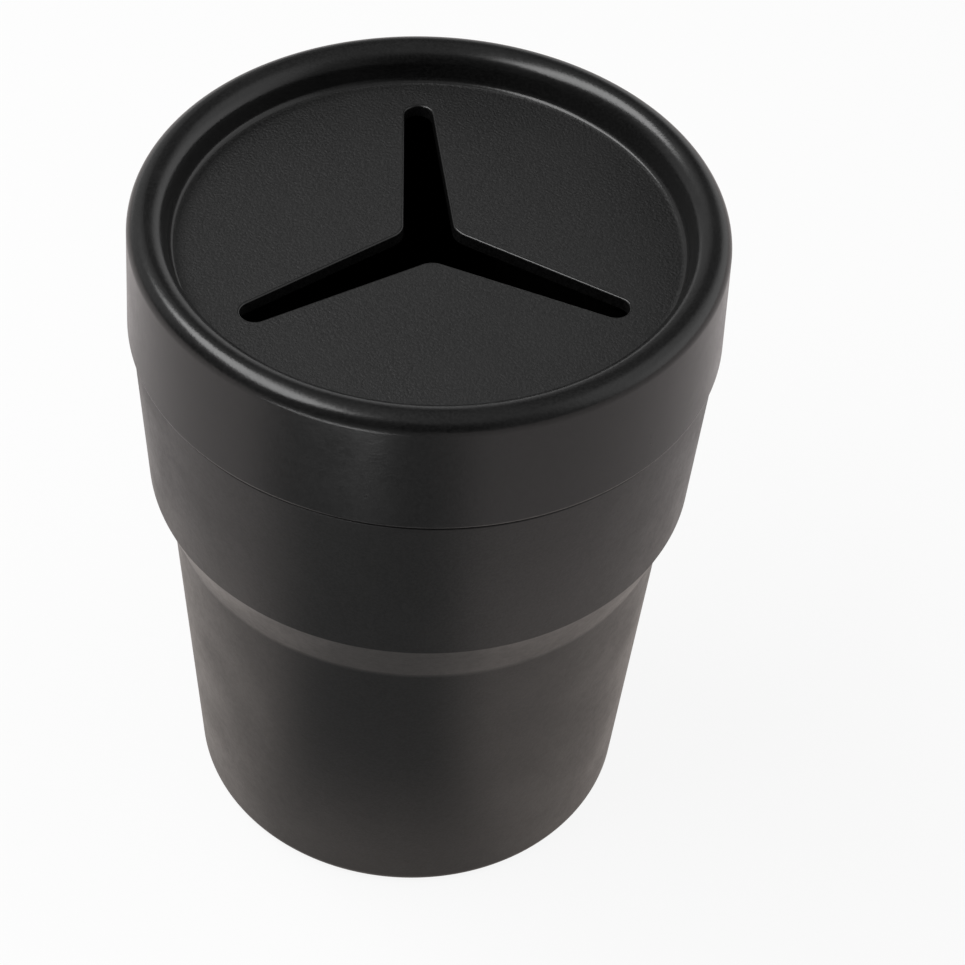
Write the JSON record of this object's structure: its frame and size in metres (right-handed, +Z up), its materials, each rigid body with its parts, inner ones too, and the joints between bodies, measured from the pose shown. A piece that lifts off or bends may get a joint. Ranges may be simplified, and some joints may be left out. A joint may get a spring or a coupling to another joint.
{
  "type": "car trash bin",
  "caption": "Small black plastic bin that stands in a car's cup holder: a shouldered, tapered cup with a pull-off lid, its sunk top cut by a three-armed slot for litter.",
  "frame": {"origin": "middle of the base, on the plane that the foot ring stands on", "axes": "+Z up along the cup's axis; one arm of the lid's slot points along +Y"},
  "size_m": [0.0814, 0.0814, 0.105],
  "materials": {
    "cup_plastic": "satin moulded black plastic",
    "lid_plastic": "satin moulded black plastic, its sunk floor finely textured"
  },
  "bodies": {
    "cup": {"cup": "cup_plastic"},
    "lid": {"lid": "lid_plastic"}
  },
  "joints": [
    {"name": "lid_lift", "type": "slide", "parent": "cup", "child": "lid", "axis": [0, 0, 1], "range_m": [0, 0.04]}
  ]
}
